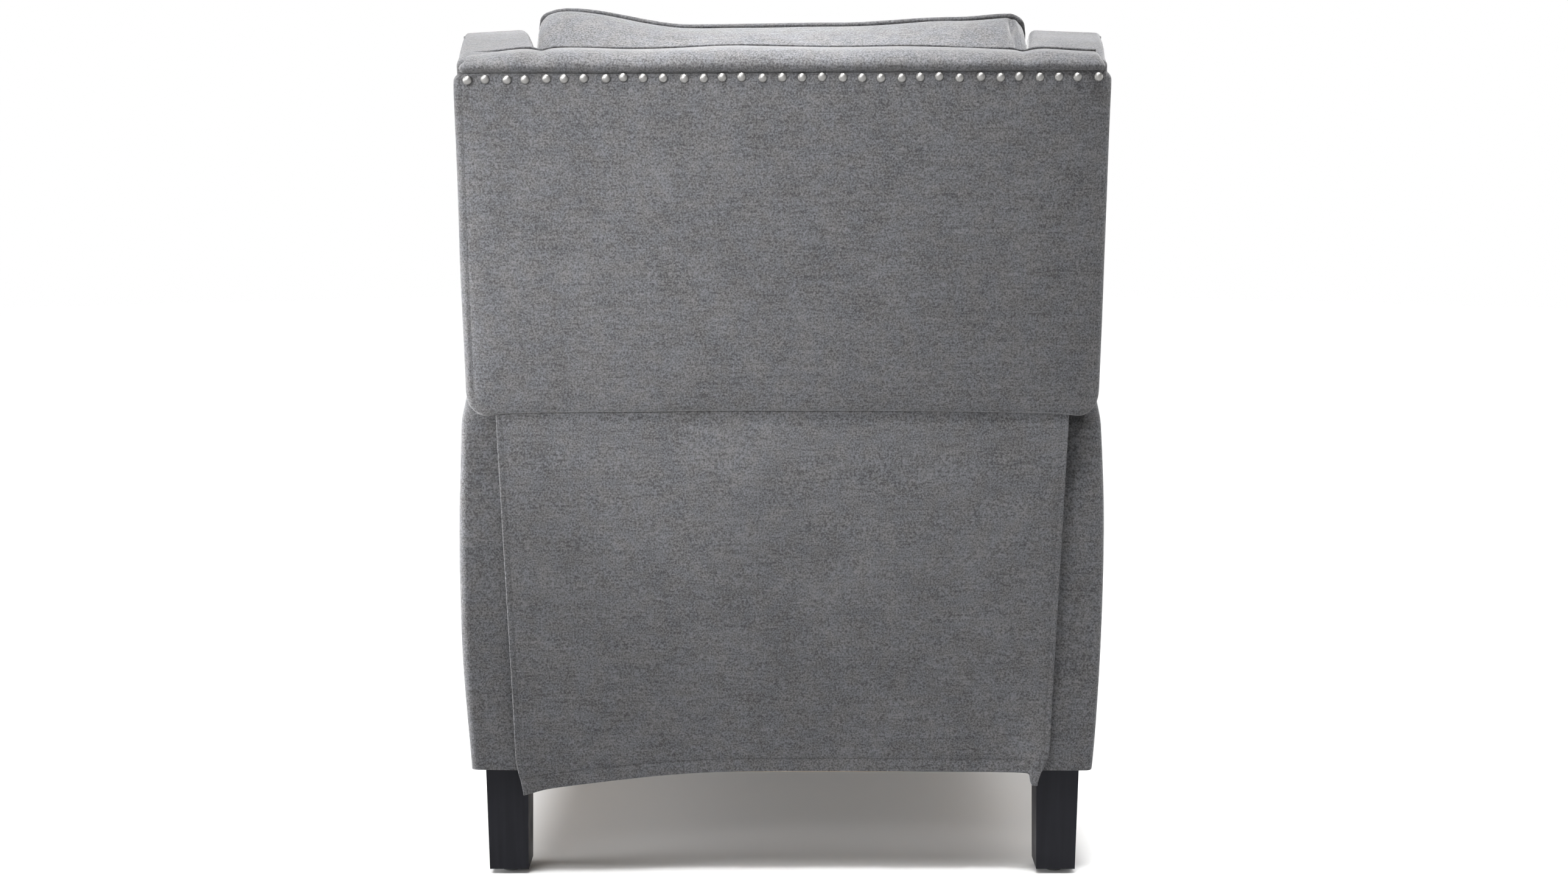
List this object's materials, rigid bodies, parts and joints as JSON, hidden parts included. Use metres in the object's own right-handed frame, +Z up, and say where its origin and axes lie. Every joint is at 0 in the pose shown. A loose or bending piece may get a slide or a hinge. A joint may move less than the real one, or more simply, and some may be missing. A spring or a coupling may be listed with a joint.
{
  "type": "pushback recliner",
  "caption": "Winged pushback recliner with upholstered arms, nailhead-trimmed back, loose cushions and tapered legs; pushing the back down slides the seat forward and lifts the legrest.",
  "frame": {"origin": "middle of the footprint, on the floor under the glides", "axes": "+Z up, -Y the way the sitter faces, +X the sitter's left"},
  "size_m": [0.7458, 0.88, 1.007],
  "materials": {
    "upholstery": "matte",
    "leg_wood": "satin",
    "frame_wood": "matte",
    "plate_steel": "satin",
    "pin_steel": "satin",
    "spring_steel": "satin",
    "nail_metal": "satin",
    "glide_plastic": "matte"
  },
  "bodies": {
    "base": {"leg_rear_left": "leg_wood", "leg_rear_right": "leg_wood", "leg_front_left": "leg_wood", "leg_front_right": "leg_wood", "leg_glides": "glide_plastic", "leg_bolts": "pin_steel", "arm_panel_left": "frame_wood", "arm_panel_right": "frame_wood", "arm_framing_left": "frame_wood", "arm_framing_right": "frame_wood", "arm_cover_left": "upholstery", "arm_cover_right": "upholstery", "base_rear_rail": "frame_wood", "base_cross_rail": "frame_wood", "track_plate_left": "plate_steel", "track_plate_right": "plate_steel", "back_pivot_bolts": "pin_steel", "back_pivot_spacers": "pin_steel", "rear_flap": "upholstery"},
    "back": {"back_post_left": "frame_wood", "back_post_right": "frame_wood", "back_top_rail": "frame_wood", "back_mid_rail": "frame_wood", "back_low_rail": "frame_wood", "outside_back": "upholstery", "back_top_roll": "upholstery", "wing_left": "upholstery", "wing_right": "upholstery", "wing_core_left": "frame_wood", "wing_core_right": "frame_wood", "back_cushion": "upholstery", "back_springs": "spring_steel", "nail_heads": "nail_metal", "back_levers": "plate_steel", "hanger_pins": "pin_steel"},
    "seat": {"seat_side_rail_left": "frame_wood", "seat_side_rail_right": "frame_wood", "seat_front_rail": "frame_wood", "seat_rear_rail": "frame_wood", "seat_plates": "plate_steel", "seat_pivot_rivets": "pin_steel", "seat_roller_pins": "pin_steel", "seat_rollers": "glide_plastic", "seat_springs": "spring_steel", "seat_cushion": "upholstery"},
    "front_link": {"front_links": "plate_steel", "torque_tube": "plate_steel"},
    "rear_link": {"rear_links": "plate_steel"},
    "drive_link": {"drive_links": "plate_steel"},
    "carrier": {"carrier_links": "plate_steel", "carrier_rivets": "pin_steel"},
    "toe_link": {"toe_links": "plate_steel"},
    "legrest": {"legrest_brackets": "plate_steel", "legrest_rivets": "pin_steel", "legrest_board": "frame_wood", "legrest_pad": "upholstery"}
  },
  "joints": [
    {"name": "back_recline", "type": "hinge", "parent": "base", "child": "back", "pos_m": [0, 0.27, 0.52], "axis": [-1, 0, 0], "range_deg": [0, 30], "deforming": ["rear_flap"]},
    {"name": "seat_carry", "type": "hinge", "parent": "back", "child": "seat", "pos_m": [0, 0.27, 0.325], "axis": [-1, 0, 0], "range_deg": [-30, 0]},
    {"name": "front_link_turn", "type": "hinge", "parent": "seat", "child": "front_link", "pos_m": [0, -0.285, 0.325], "axis": [-1, 0, 0], "range_deg": [0, 90]},
    {"name": "rear_link_turn", "type": "hinge", "parent": "seat", "child": "rear_link", "pos_m": [0, -0.23662, 0.28952], "axis": [-1, 0, 0], "range_deg": [0, 90]},
    {"name": "carrier_turn", "type": "hinge", "parent": "front_link", "child": "carrier", "pos_m": [0, -0.21, 0.191], "axis": [-1, 0, 0], "range_deg": [-90, 0]},
    {"name": "toe_link_turn", "type": "hinge", "parent": "front_link", "child": "toe_link", "pos_m": [0, -0.18021, 0.13777], "axis": [-1, 0, 0], "range_deg": [-90, 0]},
    {"name": "legrest_swing", "type": "hinge", "parent": "carrier", "child": "legrest", "pos_m": [0, -0.345, 0.29], "axis": [-1, 0, 0], "range_deg": [0, 90]},
    {"name": "drive_link_turn", "type": "hinge", "parent": "base", "child": "drive_link", "pos_m": [0, -0.2893, 0.287], "axis": [-1, 0, 0], "range_deg": [-53.3, 0]}
  ],
  "couplings": [
    {"joint": "seat_carry", "follows": "back_recline", "ratio": -1},
    {"joint": "front_link_turn", "follows": "back_recline", "ratio": 3},
    {"joint": "rear_link_turn", "follows": "back_recline", "ratio": 3},
    {"joint": "carrier_turn", "follows": "back_recline", "ratio": -3},
    {"joint": "toe_link_turn", "follows": "back_recline", "ratio": -3},
    {"joint": "legrest_swing", "follows": "back_recline", "ratio": 3},
    {"joint": "drive_link_turn", "follows": "back_recline", "ratio": -1.775}
  ]
}
